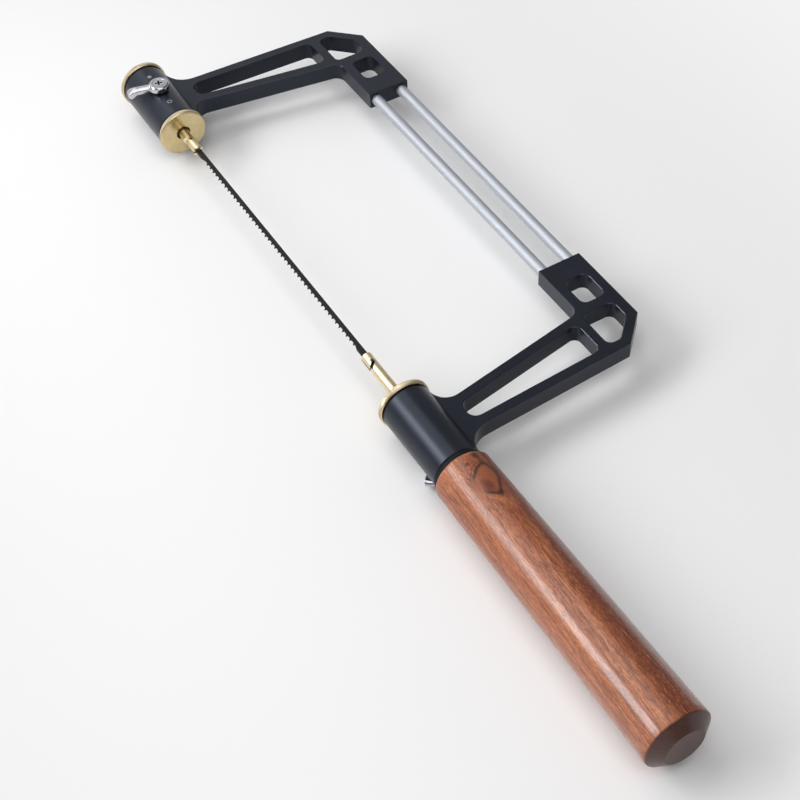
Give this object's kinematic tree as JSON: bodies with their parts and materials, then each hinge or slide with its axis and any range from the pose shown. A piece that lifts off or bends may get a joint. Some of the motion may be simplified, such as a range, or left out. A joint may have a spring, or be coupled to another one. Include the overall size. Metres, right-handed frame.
{
  "type": "fret saw",
  "caption": "Fret saw: flat truss arms joined by a rod spine hold a pinned blade in swivelling clamped holders; turning the tapered wooden handle tensions the blade.",
  "frame": {"origin": "middle of the handle's length, on the axis that the handle, barrels and blade share", "axes": "+X along the blade towards the butt of the handle, +Y from the blade to the spine, +Z square to the frame, out of the side that carries the front lever"},
  "size_m": [0.4167, 0.1167, 0.0282],
  "materials": {
    "anodised": "satin dark grey anodised",
    "bright_steel": "bright drawn",
    "dark_steel": "dark",
    "blade_steel": "blued",
    "black_nylon": "matt black",
    "brass": "turned, with knurled rims",
    "chrome": "polished",
    "hardwood": "lacquered, reddish with dark figure"
  },
  "bodies": {
    "frame": {"front_arm": "anodised", "rear_arm": "anodised", "inner_rod": "bright_steel", "outer_rod": "bright_steel", "rod_set_screws": "dark_steel", "collar_washers": "black_nylon", "thrust_ring": "black_nylon", "guide_screw": "dark_steel"},
    "front_holder": {"front_spindle": "brass", "front_collar": "brass", "front_cap": "brass", "front_cap_screw": "dark_steel", "blade": "blade_steel", "blade_pins": "dark_steel"},
    "grip": {"handle": "hardwood", "handle_insert": "brass"},
    "tensioner": {"draw_bolt": "bright_steel"},
    "rear_holder": {"rear_spindle": "brass", "rear_collar": "brass", "tail_washer": "bright_steel", "tail_clip": "dark_steel"},
    "front_clamp": {"front_lever": "chrome", "front_lever_screw": "bright_steel", "front_lever_stud": "dark_steel", "front_clamp_pad": "brass"},
    "rear_clamp": {"rear_lever": "chrome", "rear_lever_screw": "bright_steel", "rear_lever_stud": "dark_steel", "rear_clamp_pad": "brass"}
  },
  "joints": [
    {"name": "front_swivel", "type": "hinge", "parent": "frame", "child": "front_holder", "pos_m": [-0.32675, 0, 0], "axis": [1, 0, 0], "continuous": true},
    {"name": "handle_turn", "type": "hinge", "parent": "frame", "child": "grip", "pos_m": [0, 0, 0], "axis": [1, 0, 0], "range_deg": [0, 360]},
    {"name": "tension_slide", "type": "slide", "parent": "frame", "child": "tensioner", "axis": [-1, 0, 0], "range_m": [0, 0.001]},
    {"name": "rear_swivel", "type": "hinge", "parent": "tensioner", "child": "rear_holder", "pos_m": [-0.08925, 0, 0], "axis": [1, 0, 0], "continuous": true},
    {"name": "front_lever_turn", "type": "hinge", "parent": "frame", "child": "front_clamp", "pos_m": [-0.32675, 0, 0.01], "axis": [0, 0, 1], "range_deg": [-30, 60]},
    {"name": "rear_lever_turn", "type": "hinge", "parent": "frame", "child": "rear_clamp", "pos_m": [-0.08925, 0, -0.01], "axis": [0, 0, -1], "range_deg": [0, 95]}
  ],
  "couplings": [
    {"joint": "tension_slide", "follows": "handle_turn", "m_per_rad": 0.00015915},
    {"joint": "rear_swivel", "follows": "front_swivel", "ratio": 1}
  ]
}
